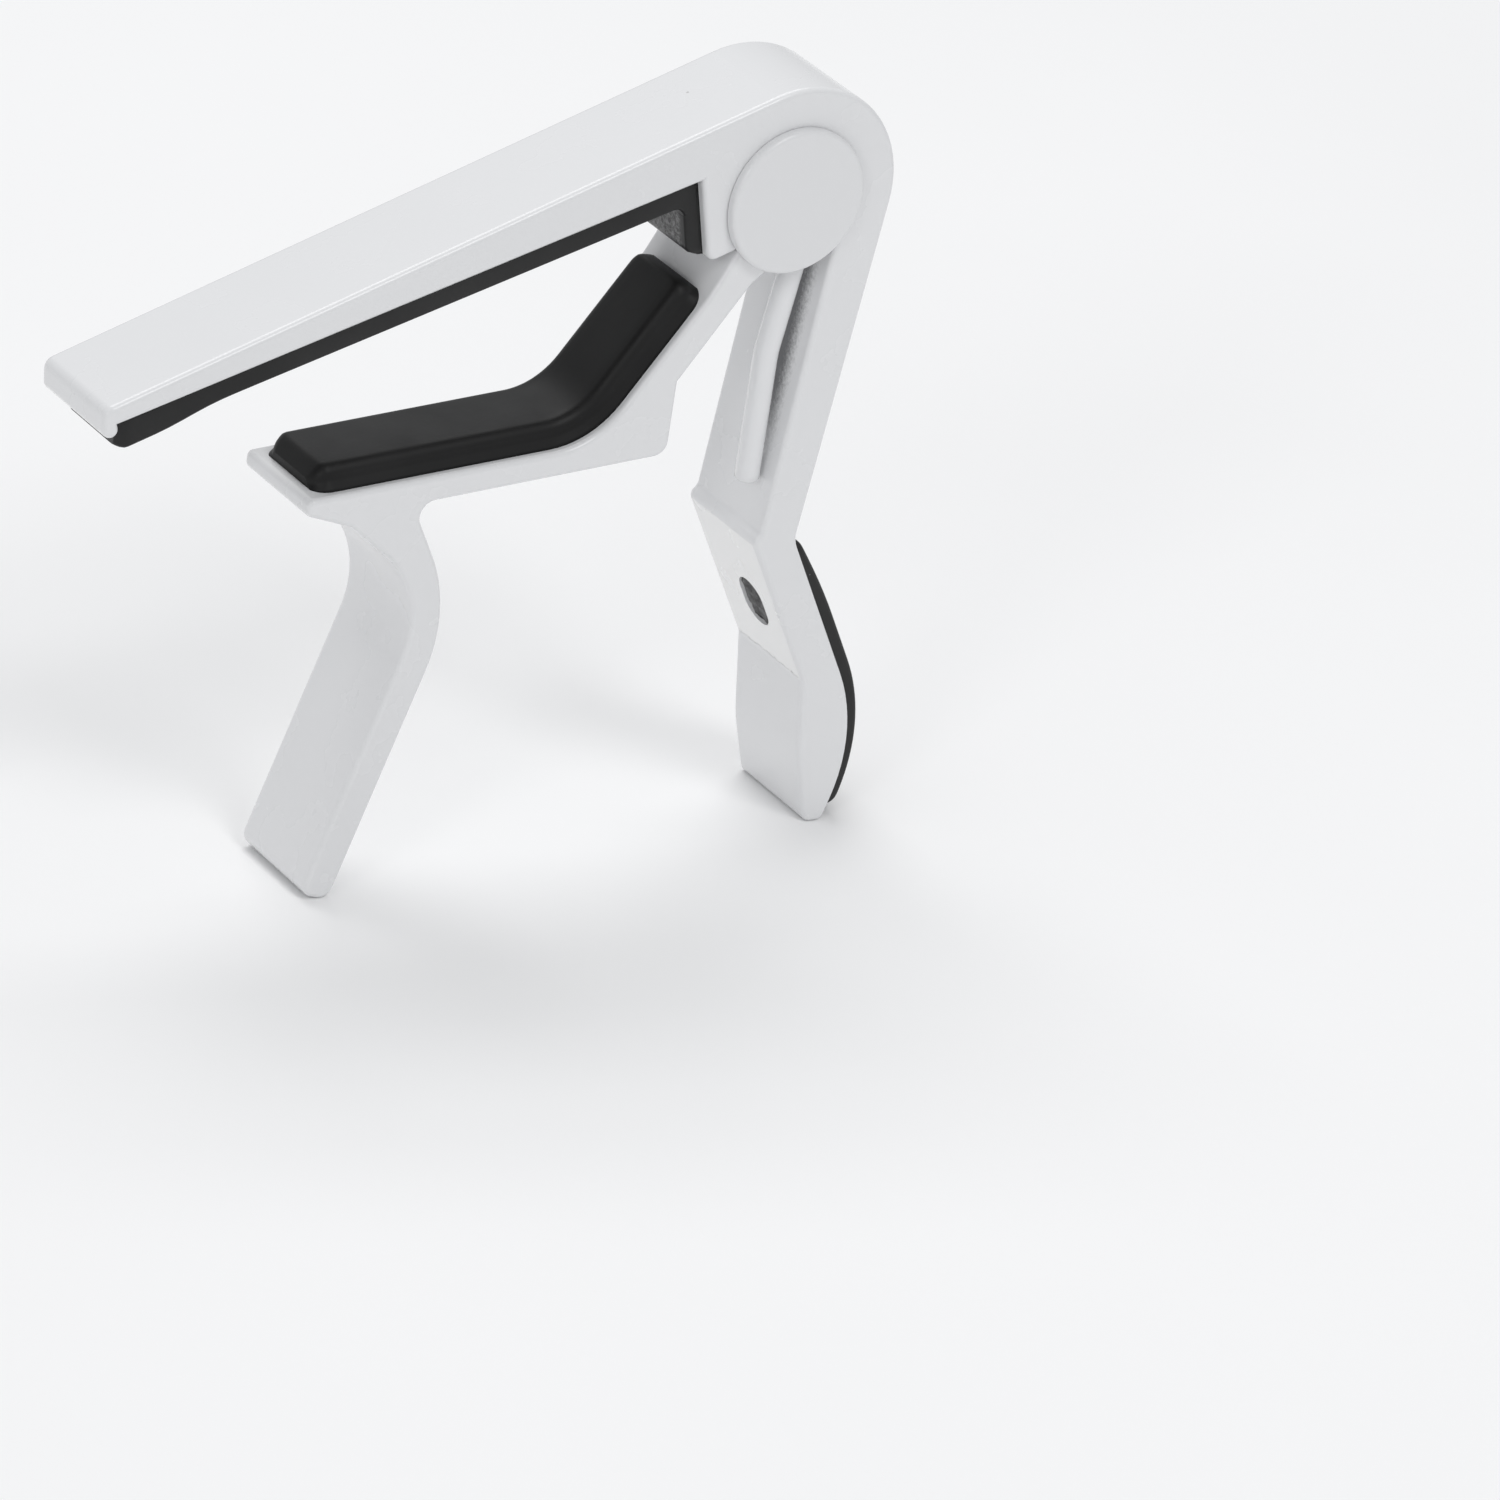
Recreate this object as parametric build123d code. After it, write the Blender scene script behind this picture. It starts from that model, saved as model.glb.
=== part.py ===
from build123d import *
import math
import os

# A spring-loaded guitar capo.  Two castings turn on one pivot pin: the bar with the rear handle, and the
# cradle arm with the front handle.  Rubber pads line the bar, the cradle and the rear handle.
# Profiles are drawn in the XZ plane about the pivot axis, which runs along Y.  At the end everything moves
# so that the origin is the bottom centre of the whole capo, standing on its two handle tips.
# Millimetres and degrees; +X points from the bar's free tip to the pivot, -Y is the side of the pin's head.

# ---- both castings ----
body_width = 12.8            # along Y
edge_round = 0.6             # rounding of the edges along both sides
tip_height = -71.9           # both handle tips, from the pivot axis

# ---- pivot ----
head_radius = 7.75           # round heads of the pin
head_height = 1.0
head_edge_round = 0.5
head_gap = 0.1               # between a head and the castings' faces
pin_radius = 2.6
bore_clearance = 0.05        # running clearance of the pin in each bore, radial
cap_bore_depth = 0.6         # the pin's end sits this deep in the far head
cheek_thickness = 1.6
cheek_radius = 7.3           # the cheeks end in this arc, just inside the heads
cavity_radius = 8.0          # round cavity between the cheeks
turn_clearance = 0.35        # between curved faces that pass each other
side_clearance = 0.05        # between flat faces that turn against each other
washer_thickness = 0.3
washer_radius = 5.5
sleeve_wall = 0.45
lug_thickness = 1.45
lug_radius = 6.9

# ---- bar ----
hood_radius = 11.75
hood_offset = 0.4            # the hood's centre lies this far behind the pivot
bar_angle = 19.3             # slope of the bar's top face
bar_reach = 76.3             # free tip from the pivot
tip_corner = 1.2
under_angle = 16.6           # slope of the bar's underside
under_height = 6.2           # height of the underside's line above the pivot axis
lip_depth = 1.2              # the lip at the free tip, turned down over the pad's end
lip_thickness = 1.7
lip_round = 0.8
groove_width = 4.0           # groove in the underside that holds the pad's rib
groove_depth = 0.8
groove_margin = 5.0          # the groove stops this far from the lip and from the tooth
tooth_face_x = -11.05        # the tooth's face where it leaves the underside
tooth_tip_x = -8.9
tooth_tip_z = -6.2
tooth_round = 0.9
tooth_end_angle = 222.3      # where the tooth's end meets the cheeks' arc

# ---- rear handle ----
handle_angle = 7.7           # lean of the outer face's straight stretch from the vertical
inner_x = 6.68               # inner face, at the pivot's height
inner_slope = 0.108
inner_top_z = -3.7           # where the inner face meets the cheeks' arc
elbow_outer_z = -38.6        # where the outer face turns outward
elbow_round = 3.0
ridge_z = -38.2              # the ridge on the inner face
ridge_height = 0.8
ridge_round = 0.9
ridge_fillet = 1.2
outer_angle = 27.5           # lean of the outer face below the elbow
outer_knee_z = -61.95
outer_knee_radius = 19.0
outer_tip_angle = 18.0       # lean back toward the tip
facet_end_x = 10.65           # the flat facet below the ridge ends here
facet_end_z = -55.1
facet_round = 2.0
inner_knee_x = 11.85
inner_knee_z = -64.9
inner_knee_radius = 20.0
rear_tip_x = 13.85
rear_tip_round = 1.0

# ---- cradle casting ----
arm_start_angle = 223.9      # the arm's top face leaves the cheeks' arc here
arm_knee_x = -8.3            # the top face eases to its lower slope here
arm_knee_z = -10.25
arm_knee_radius = 8.0
arm_slope = 53.2
arm_depth = 1.3             # the arm's root reaches this far inside the cheeks' arc, between the cheeks
root_overlap = 0.5
root_taper = 3.0             # degrees by which the overlap is narrower than the root, at each side
flare_angle = 259.5          # where the underside leaves the cheeks' arc
flare_x = -3.2
flare_z = -9.0
heel_x = -10.4
heel_top_z = -18.9
heel_z = -26.9
heel_round = 1.6
seat_slope = 3.8             # slope of the flat part of the seat
seat_z = -23.5               # height of that slope's line at the pivot
seat_bend_radius = 10.5
cradle_tip_x = -51.9
cradle_tip_round = 0.7
nose_drop = 1.7              # height of the tip's front face
overhang_x = -46.6           # the front handle's inner face leaves the cradle's underside here
overhang_z = -30.5
root_x = -39.6               # the underside ends here, where the front handle's outer face leaves it
root_z = -28.9
root_round = 1.6
bend_outer_x = -33.3         # corner of the outer face's bend, before rounding
bend_outer_z = -41.1
bend_outer_radius = 16.8
overhang_slope = 39.0        # slope of the inner face above the bend
bend_inner_radius = 11.0
front_lean = 18.0            # lean of the front handle's straight stretch
front_thickness = 3.6
front_tip_round = 1.5

# ---- spring ----
wire_radius = 1.27
wire_gap = 0.08              # around the wire where it sits in the lug
coil_radius = 4.6            # of the wire's centre line
coil_pitch = 2.62
coil_near_y = -3.45          # the near turn
coil_start = -9.2            # the leg is tangent to the coil at this angle
coil_end = 590.0             # the far turn ends at this angle, counted through the turns
leg_length = 17.6            # from the coil to the leg's bend
leg_bend_radius = 12.0
leg_end_x = 1.75             # the leg's end, which presses on the rear handle
leg_end_z = -32.3
tang_radius = 1.2             # the wire is ground down where it enters the lug
coil_overrun = 20.0           # degrees that the coil runs on past the tang
knuckle_swell = 0.02          # where the leg leaves the coil

# ---- pads ----
bar_pad_inset = 1.2          # the pad's sides from the casting's sides
bar_pad_thickness = 2.8
bar_pad_dip = 0.9            # the pad thickens by this toward the free tip
bar_pad_dip_length = 12.0
bar_pad_end_gap = 0.7        # between the lip and the pad's end
bar_pad_end_round = 1.3
hook_corner_round = 1.0      # where the pad's face turns down into the hook
hook_thickness = 1.7         # the part of the bar's pad that covers the tooth
hook_z = -5.5
hook_round = 0.7
rib_gap = 0.05               # around the pad's rib in its groove
seat_pad_inset = 1.0
seat_pad_thickness = 2.5
seat_pad_round = 0.9
seat_pad_front_x = -50.6
seat_pad_top_x = -8.75
grip_inset = 1.0
grip_start = 1.2             # distance of the grip's top end below the elbow
grip_start_thickness = 0.9
grip_thickness = 1.7
grip_ease = 11.0             # the grip reaches its thickness over this length
grip_end_z = -71.2
grip_end_round = 1.2
peg_radius = 2.1             # the grip's peg, which passes through the casting
peg_stretch = 1.8            # the peg's section is oblong along the handle
peg_side = 1.0               # the peg sits this far from the mid-plane, toward -Y
peg_share = 0.575             # place of the peg along the facet
peg_clearance = 0.03

half = body_width / 2
cavity_half = half - cheek_thickness
bore_radius = pin_radius + bore_clearance
arm_inner_radius = cheek_radius + turn_clearance
root_radius = arm_inner_radius - arm_depth
root_half = cavity_half - side_clearance
washer_far_y = cavity_half - side_clearance
lug_far_y = washer_far_y - washer_thickness - side_clearance
lug_near_y = lug_far_y - lug_thickness
sleeve_far_y = lug_near_y - side_clearance
head_base = half + head_gap
quarter = 90.0
full_turn = 360.0
tolerance = 0.001             # for telling whether an edge lies in a flat side
overcut = 1.0                # cutting solids run this far past the faces they open


def slope(degrees):
    return math.tan(math.radians(degrees))


def direction(degrees):
    return Vector(math.cos(math.radians(degrees)), math.sin(math.radians(degrees)))


def angle_of(vector):
    return math.degrees(math.atan2(vector.Y, vector.X))


def meet(point_a, angle_a, point_b, angle_b):
    """Where the line through point_a at angle_a crosses the line through point_b at angle_b."""
    a = direction(angle_a)
    b = direction(angle_b)
    gap = point_b - point_a
    reach = (gap.X * b.Y - gap.Y * b.X) / (a.X * b.Y - a.Y * b.X)
    return point_a + a * reach


def chain(corners):
    """Straight edges through corners given as (point, radius), each inner corner rounded."""
    edges = []
    at = corners[0][0]
    for (corner, radius), (following, _) in zip(corners[1:], corners[2:]):
        come = (corner - at).normalized()
        leave = (following - corner).normalized()
        if radius:
            turn = math.radians(come.get_angle(leave)) / 2
            begin = corner - come * radius * math.tan(turn)
            end = corner + leave * radius * math.tan(turn)
            inward = (leave - come).normalized()
            middle = corner + inward * radius * (1 / math.cos(turn) - 1)
            edges.append(Line(at, begin))
            edges.append(ThreePointArc(begin, middle, end))
            at = end
        else:
            edges.append(Line(at, corner))
            at = corner
    edges.append(Line(at, corners[-1][0]))
    return edges


def loop(corners):
    """A closed outline; its first corner has no radius."""
    return chain(corners + corners[:1])


def prism(edges, low, high):
    """The solid between Y = low and Y = high whose section in XZ is the closed outline."""
    section = Plane((0, high, 0), x_dir=(1, 0, 0), z_dir=(0, -1, 0)) * make_face(edges)
    return extrude(section, high - low)


def disc(radius, low, high):
    return prism([CenterArc((0, 0), radius, 0, full_turn)], low, high)


def side_edges(solid, reach, keep):
    """The edges in the faces at Y = -reach and Y = reach whose middle passes keep(x, z)."""
    chosen = []
    for edge in solid.edges():
        box = edge.bounding_box()
        flat = box.size.Y < tolerance and abs(abs(box.center().Y) - reach) < tolerance
        middle = edge.position_at(0.5)
        if flat and keep(middle.X, middle.Z):
            chosen.append(edge)
    return chosen


def under(x):
    """A point of the bar's underside."""
    return Vector(x, under_height + slope(under_angle) * x)


def tooth_point(z):
    """A point of the tooth's face."""
    top = under(tooth_face_x)
    share = (top.Y - z) / (top.Y - tooth_tip_z)
    return Vector(top.X + share * (tooth_tip_x - top.X), z)


def inner_face(z):
    """A point of the rear handle's inner face above the ridge."""
    return Vector(inner_x + inner_slope * z, z)


lip_inner_x = -bar_reach + lip_thickness
down_from_bar = direction(under_angle - quarter)
hood_centre = Vector(hood_offset, 0)
hood_rear = hood_centre + direction(-handle_angle) * hood_radius
hood_front = hood_centre + direction(quarter + bar_angle) * hood_radius
elbow_drop = hood_rear.Y - elbow_outer_z
elbow = hood_rear - Vector(slope(handle_angle), 1) * elbow_drop
elbow_way = outer_angle - quarter
tip_way = -quarter - outer_tip_angle
ridge_nose = inner_face(ridge_z) - Vector(ridge_height, 0)
facet_end = Vector(facet_end_x, facet_end_z)
facet_way = angle_of(facet_end - ridge_nose)


def rear_knee(offset):
    """The corner of the rear handle's outer face, moved outward by the offset."""
    upper = elbow + direction(elbow_way + quarter) * offset
    knee = Vector(elbow.X + slope(outer_angle) * (elbow_outer_z - outer_knee_z), outer_knee_z)
    lower = knee + direction(tip_way + quarter) * offset
    return meet(upper, elbow_way, lower, tip_way)


def rear_tip(offset, z):
    """The point of the outer face below its knee at height z, moved outward by the offset."""
    return meet(rear_knee(offset), tip_way, Vector(0, z), 0)


def bar_outline():
    lip_drop = down_from_bar * lip_depth
    tooth_end = direction(tooth_end_angle) * cheek_radius
    front = chain([
        (hood_front, 0),
        (hood_front - Vector(1, slope(bar_angle)) * (hood_front.X + bar_reach), tip_corner),
        (under(-bar_reach) + lip_drop, lip_round),
        (under(lip_inner_x) + lip_drop, lip_round),
        (under(lip_inner_x), 0),
        (under(tooth_face_x), 0),
        (tooth_point(tooth_tip_z), tooth_round),
        (tooth_end, 0),
    ])
    cheek_end = inner_face(inner_top_z)
    cheek_low = Vector(0, -cheek_radius)
    rear = chain([
        (cheek_end, 0),
        (inner_face(ridge_z + ridge_height), ridge_fillet),
        (ridge_nose, ridge_round),
        (facet_end, facet_round),
        (Vector(inner_knee_x, inner_knee_z), inner_knee_radius),
        (Vector(rear_tip_x, tip_height), rear_tip_round),
        (rear_tip(0, tip_height), rear_tip_round),
        (rear_knee(0), outer_knee_radius),
        (elbow, elbow_round),
        (hood_rear, 0),
    ])
    arc = ThreePointArc(tooth_end, cheek_low, cheek_end)
    hood = ThreePointArc(hood_rear, hood_centre + direction(quarter / 2) * hood_radius, hood_front)
    return front + [arc] + rear + [hood]


def clear_of_pivot(x, z):
    """True outside the arcs about the pivot that the two castings turn on."""
    return math.hypot(x, z) > arm_inner_radius + side_clearance


def bar_frame():
    body = prism(bar_outline(), -half, half)
    body = fillet(side_edges(body, half, clear_of_pivot), edge_round)
    body -= disc(cavity_radius, -cavity_half, cavity_half)
    body -= disc(bore_radius, -half - overcut, half + overcut)
    near = under(lip_inner_x + groove_margin)
    far = under(tooth_face_x - groove_margin)
    up = down_from_bar * -groove_depth
    down = down_from_bar * overcut
    channel = loop([(near + down, 0), (far + down, 0), (far + up, 0), (near + up, 0)])
    body -= prism(channel, -groove_width / 2, groove_width / 2)
    body -= peg_solid(peg_clearance, overcut, overcut)
    return body


def peg_solid(margin, past_inner, past_outer):
    """The oblong peg through the facet, square to it, grown by the margin."""
    centre = ridge_nose + (facet_end - ridge_nose) * peg_share
    inward = direction(facet_way - quarter)
    outer = meet(centre, facet_way - quarter, elbow, elbow_way)
    start = centre + inward * past_inner
    depth = (outer - centre).length + past_inner + past_outer
    along = direction(facet_way)
    origin = (start.X, -peg_side, start.Y)
    plane = Plane(origin, x_dir=(along.X, 0, along.Y), z_dir=(-inward.X, 0, -inward.Y))
    section = SlotOverall(2 * (peg_radius + peg_stretch / 2 + margin), 2 * (peg_radius + margin))
    return extrude(plane * section, depth)


def cradle_corner_lines():
    """The three corners of the seat's top and the slope's directions."""
    knee = Vector(arm_knee_x, arm_knee_z)
    flat = Vector(0, seat_z)
    bend = meet(knee, arm_slope, flat, seat_slope)
    return knee, bend


def seat_point(x):
    """A point of the seat's flat part."""
    return Vector(x, seat_z + slope(seat_slope) * x)


def front_inner(z):
    """A point of the front handle's inner face on its straight stretch."""
    outer_x = bend_outer_x + slope(front_lean) * (z - bend_outer_z)
    return Vector(outer_x - front_thickness / math.cos(math.radians(front_lean)), z)


def front_tip_corners():
    outer_way = -quarter - front_lean
    end_way = outer_way - quarter
    bend = Vector(bend_outer_x, bend_outer_z)
    centre_z = tip_height + front_tip_round
    inset = bend + direction(outer_way - quarter) * front_tip_round
    centre = meet(inset, outer_way, Vector(0, centre_z), 0)
    corner = centre + (direction(outer_way + quarter) + direction(outer_way)) * front_tip_round
    inner = meet(corner, end_way, front_inner(bend_outer_z), outer_way)
    return corner, inner


def root_outline():
    """The arm's root between the cheeks, which runs on into the arm by the root's overlap."""
    span = flare_angle - arm_start_angle
    inner_arc = CenterArc((0, 0), root_radius, arm_start_angle, span)
    outer_arc = CenterArc((0, 0), arm_inner_radius, arm_start_angle, span)
    deep_start = arm_start_angle + root_taper
    deep_arc = CenterArc((0, 0), arm_inner_radius + root_overlap, deep_start, span - 2 * root_taper)
    return [
        inner_arc,
        Line(inner_arc @ 1, outer_arc @ 1),
        Line(outer_arc @ 1, deep_arc @ 1),
        deep_arc,
        Line(deep_arc @ 0, outer_arc @ 0),
        Line(outer_arc @ 0, inner_arc @ 0),
    ]


def cradle_outline():
    """The cradle casting's section outside the cheeks' arc."""
    knee, bend = cradle_corner_lines()
    top = direction(arm_start_angle) * arm_inner_radius
    low = direction(flare_angle) * arm_inner_radius
    corner, inner = front_tip_corners()
    overhang = Vector(overhang_x, overhang_z)
    inner_bend = meet(overhang, -overhang_slope, front_inner(bend_outer_z), -quarter - front_lean)
    root = Vector(root_x, root_z)
    outline = chain([
        (top, 0),
        (knee, arm_knee_radius),
        (bend, seat_bend_radius),
        (seat_point(cradle_tip_x), cradle_tip_round),
        (seat_point(cradle_tip_x) - Vector(0, nose_drop), cradle_tip_round),
        (overhang, 0),
        (inner_bend, bend_inner_radius),
        (inner, front_tip_round),
        (corner, front_tip_round),
        (Vector(bend_outer_x, bend_outer_z), bend_outer_radius),
        (root, root_round),
        (Vector(heel_x, heel_z), heel_round),
        (Vector(heel_x, heel_top_z), 0),
        (Vector(flare_x, flare_z), 0),
        (low, 0),
    ])
    middle = direction((arm_start_angle + flare_angle) / 2) * arm_inner_radius
    return outline + [ThreePointArc(low, middle, top)]


def cradle_frame():
    body = prism(cradle_outline(), -half, half)
    body = fillet(side_edges(body, half, clear_of_pivot), edge_round)
    body += prism(root_outline(), -root_half, root_half)
    body += disc(lug_radius, lug_near_y, lug_far_y)
    body -= disc(bore_radius, -half, half)
    body -= tang(lug_far_y - lug_thickness, wire_gap)
    return body


def coil_place(turned):
    """The wire's centre after the coil has turned by this many degrees."""
    place = direction(coil_start + turned) * coil_radius
    return Vector(place.X, coil_near_y + turned / full_turn * coil_pitch, place.Y)


def tang(start_y, margin):
    """The straight end of the wire, which runs from start_y into the lug."""
    start = coil_place(coil_end - coil_start)
    plane = Plane((start.X, lug_far_y, start.Z), x_dir=(1, 0, 0), z_dir=(0, -1, 0))
    return extrude(plane * Circle(tang_radius + margin), lug_far_y - start_y)


def spring_leg():
    """The free leg, which bends back against the handle; returns it and its start on the coil."""
    begin = coil_place(0)
    leg_up = direction(coil_start + quarter)
    up = Vector(leg_up.X, 0, leg_up.Y)
    bend = begin - up * leg_length
    tip = Vector(leg_end_x, coil_near_y, leg_end_z)
    down = (tip - bend).normalized()
    turn = math.radians(down.get_angle(-up)) / 2
    before = bend + down * leg_bend_radius * math.tan(turn)
    after = bend + up * leg_bend_radius * math.tan(turn)
    inward = (down + up).normalized()
    middle = bend + inward * leg_bend_radius * (1 / math.cos(turn) - 1)
    path = [
        Line(tip, before),
        ThreePointArc(before, middle, after),
        Line(after, begin),
    ]
    section = Plane(tip, z_dir=-down) * Circle(wire_radius)
    return sweep(section, Wire(path)), begin


def spring_coil():
    """The coil, which runs on past the tang by the coil's overrun."""
    turned = coil_end + coil_overrun - coil_start
    height = turned / full_turn * coil_pitch
    line = Helix(coil_pitch, height, coil_radius, direction=(0, 1, 0), lefthand=True)
    section = Plane(line @ 0, z_dir=line % 0) * Circle(wire_radius)
    coil = sweep(section, line, is_frenet=True)
    return Location((0, coil_near_y, 0), (0, quarter - coil_start, 0)) * coil


def torsion_spring():
    leg, joint = spring_leg()
    knuckle = Location(joint.to_tuple()) * Sphere(wire_radius + knuckle_swell)
    tang_start = coil_place(coil_end - coil_start).Y
    return spring_coil() + knuckle + leg + tang(tang_start, 0)


def bar_pad():
    inner = lip_inner_x + bar_pad_end_gap
    end_drop = down_from_bar * (bar_pad_thickness + bar_pad_dip)
    body_drop = down_from_bar * bar_pad_thickness
    dip_start = under(inner + bar_pad_dip_length)
    back = Vector(hook_thickness, 0)
    hook_low = tooth_point(hook_z)
    outline = loop([
        (under(inner), 0),
        (under(inner) + end_drop, bar_pad_end_round),
        (dip_start + body_drop, bar_pad_dip_length),
        (meet(under(0) + body_drop, under_angle, tooth_point(0) - back, tooth_way()), hook_corner_round),
        (hook_low - back, hook_round),
        (hook_low, hook_round),
        (under(tooth_face_x), 0),
    ])
    pad_half = half - bar_pad_inset
    pad = prism(outline, -pad_half, pad_half)
    rib_end = rib_gap + groove_margin
    near = under(lip_inner_x + rib_end)
    far = under(tooth_face_x - rib_end)
    up = down_from_bar * (rib_gap - groove_depth)
    rib_half = groove_width / 2 - rib_gap
    rib = loop([(near, 0), (far, 0), (far + up, 0), (near + up, 0)])
    return pad + prism(rib, -rib_half, rib_half)


def tooth_way():
    return angle_of(tooth_point(tooth_tip_z) - under(tooth_face_x))


def cradle_pad():
    knee, bend = cradle_corner_lines()
    top = meet(knee, arm_slope, Vector(seat_pad_top_x, 0), quarter)
    front = seat_point(seat_pad_front_x)
    lift_arm = direction(arm_slope + quarter) * seat_pad_thickness
    lift_flat = direction(seat_slope + quarter) * seat_pad_thickness
    inner_bend = meet(bend + lift_arm, arm_slope, bend + lift_flat, seat_slope)
    outline = loop([
        (top, 0),
        (bend, seat_bend_radius),
        (front, 0),
        (front + lift_flat + direction(seat_slope) * seat_pad_round, seat_pad_round),
        (inner_bend, seat_bend_radius - seat_pad_thickness),
        (top + lift_arm - direction(arm_slope) * seat_pad_round, seat_pad_round),
    ])
    pad_half = half - seat_pad_inset
    return prism(outline, -pad_half, pad_half)


def handle_pad():
    base = elbow + direction(elbow_way) * grip_start
    outward = direction(elbow_way + quarter)
    eased = base + direction(elbow_way) * grip_ease + outward * grip_thickness
    outline = loop([
        (base, 0),
        (rear_knee(0), outer_knee_radius),
        (rear_tip(0, grip_end_z), 0),
        (rear_tip(grip_thickness, grip_end_z), grip_end_round),
        (rear_knee(grip_thickness), outer_knee_radius),
        (eased, grip_ease),
        (base + outward * grip_start_thickness, 0),
    ])
    pad_half = half - grip_inset
    pad = prism(outline, -pad_half, pad_half)
    return pad + peg_solid(0, 0, grip_thickness / 2)


def pivot_pin():
    head = disc(head_radius, -head_base - head_height, -head_base)
    head = fillet(head.edges().group_by(Axis.Y)[0], head_edge_round)
    return head + disc(pin_radius, -head_base, head_base + cap_bore_depth)


def pin_cap():
    head = disc(head_radius, head_base, head_base + head_height)
    head = fillet(head.edges().group_by(Axis.Y)[-1], head_edge_round)
    return head - disc(bore_radius, head_base, head_base + cap_bore_depth)


def spring_sleeve():
    sleeve = disc(bore_radius + sleeve_wall, -cavity_half + side_clearance, sleeve_far_y)
    return sleeve - disc(bore_radius, -cavity_half, sleeve_far_y)


def lug_washer():
    near = washer_far_y - washer_thickness
    return disc(washer_radius, near, washer_far_y) - disc(bore_radius, near, washer_far_y)


pieces = {
    "bar_frame": bar_frame(),
    "cradle_frame": cradle_frame(),
    "bar_pad": bar_pad(),
    "cradle_pad": cradle_pad(),
    "handle_pad": handle_pad(),
    "pivot_pin": pivot_pin(),
    "pin_cap": pin_cap(),
    "torsion_spring": torsion_spring(),
    "spring_sleeve": spring_sleeve(),
    "lug_washer": lug_washer(),
}
boxes = [piece.bounding_box() for piece in pieces.values()]
middle_x = (min(box.min.X for box in boxes) + max(box.max.X for box in boxes)) / 2
bottom = min(box.min.Z for box in boxes)
os.makedirs("parts", exist_ok=True)
for name, piece in pieces.items():
    export_step(piece.moved(Location((-middle_x, 0, -bottom))), "parts/" + name + ".step")
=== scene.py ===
import bmesh
import bpy
import math
from mathutils import Matrix, Vector
from mathutils import noise as mathutils_noise


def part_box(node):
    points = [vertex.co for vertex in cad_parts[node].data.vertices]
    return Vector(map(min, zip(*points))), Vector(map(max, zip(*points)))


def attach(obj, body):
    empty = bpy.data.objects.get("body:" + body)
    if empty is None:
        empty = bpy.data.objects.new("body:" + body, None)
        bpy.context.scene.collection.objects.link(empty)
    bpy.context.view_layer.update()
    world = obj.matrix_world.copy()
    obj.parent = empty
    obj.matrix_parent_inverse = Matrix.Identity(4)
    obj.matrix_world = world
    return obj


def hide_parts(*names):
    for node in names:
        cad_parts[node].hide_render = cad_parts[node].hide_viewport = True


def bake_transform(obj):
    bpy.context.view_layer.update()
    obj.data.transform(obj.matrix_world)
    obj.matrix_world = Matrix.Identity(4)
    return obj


# A guitar capo.  The castings, the pin, its cap, the sleeve and the washer are the CAD nodes, painted here,
# while the rubber pads, the grip's peg and the spring are shaped here.  Lengths are in metres and angles in
# degrees.  Profiles are drawn in the XZ plane about the pivot axis.

MM = 0.001

# ---- camera, about the near face of the pivot ----
CAMERA_AZIMUTH = 36.35
CAMERA_ELEVATION = 25.6
CAMERA_ROLL = 9.03
CAMERA_DISTANCE = 893.4 * MM
CAMERA_ASIDE = 4.3 * MM          # the pivot lies this far right of the optical axis
CAMERA_BELOW = 54.71 * MM        # and this far above it
CAMERA_LENS = 216.0              # the lens and the sensor are in millimetres
CAMERA_SENSOR = 36.0
CAMERA_NEAR_LIMIT = 0.01
CAMERA_FAR_LIMIT = 20.0

# ---- lights, each with its name, place, size and power ----
LIGHTS = (
    ("key", (0.1, -0.7, 0.95), (0.4, 0.4), 2.6),
    ("top", (0.1, 0.5, 1.0), (0.8, 0.6), 4.2),
    ("left", (-0.8, -0.5, 0.5), (0.2, 0.3), 0.9),
)
LIGHT_TARGET = (0.0, 0.0, 0.045)
SKY_COLOUR = (0.97, 0.98, 1.0, 1.0)
SKY_STRENGTH = 0.54
FLOOR_SIZE = 4.0

# ---- bar pad ----
UNDER_SLOPE = 16.6
UNDER_HEIGHT = 6.2 * MM
BAR_PAD_START = -73.85 * MM
BAR_PAD_THICKNESS = 2.8 * MM
BAR_PAD_DIP = 0.9 * MM
BAR_PAD_DIP_LENGTH = 12.0 * MM
BAR_PAD_SWELL = 0.35 * MM        # a low hump in the strip near its free end
BAR_PAD_SWELL_AT = 5.0 * MM
BAR_PAD_SWELL_REACH = 4.0 * MM
BAR_PAD_OVERHANG = 0.85 * MM     # the free end leans out under the bar's lip
BAR_PAD_OVERHANG_REACH = 3.0 * MM
BAR_PAD_END_ROUND = 0.9 * MM
BAR_PAD_END_SHARE = 0.84         # height of the free end, as a share of the full height
BAR_PAD_CORNER = 1.2 * MM        # in plan
BAR_PAD_LEAN = 0.12 * MM         # how far the sides lean in over the pad's height
BAR_PAD_EDGE = 0.4 * MM
STRIP_MARKS = (0.0, 0.02, 0.08, 0.2, 0.4, 0.7, 1.0, 1.4, 2.0)    # first stations, closest at the free end
STRIP_STEP = 1.5                 # between the ones that follow; both are in millimetres
TOOTH_TOP_X = -11.05 * MM
TOOTH_TIP = (-8.9 * MM, -6.2 * MM)
HOOK_THICKNESS = 1.7 * MM
HOOK_END_Z = -5.5 * MM
HOOK_CORNER = 1.0 * MM
HOOK_CORNER_SLIDE = 1.2 * MM     # length of casting that the hook's corner is fanned over
HOOK_FIRST = 3.6 * MM            # where the hook's straight part starts, along the tooth
HOOK_END_ROUND = 0.9 * MM
HOOK_END_SHARE = 0.35

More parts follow.
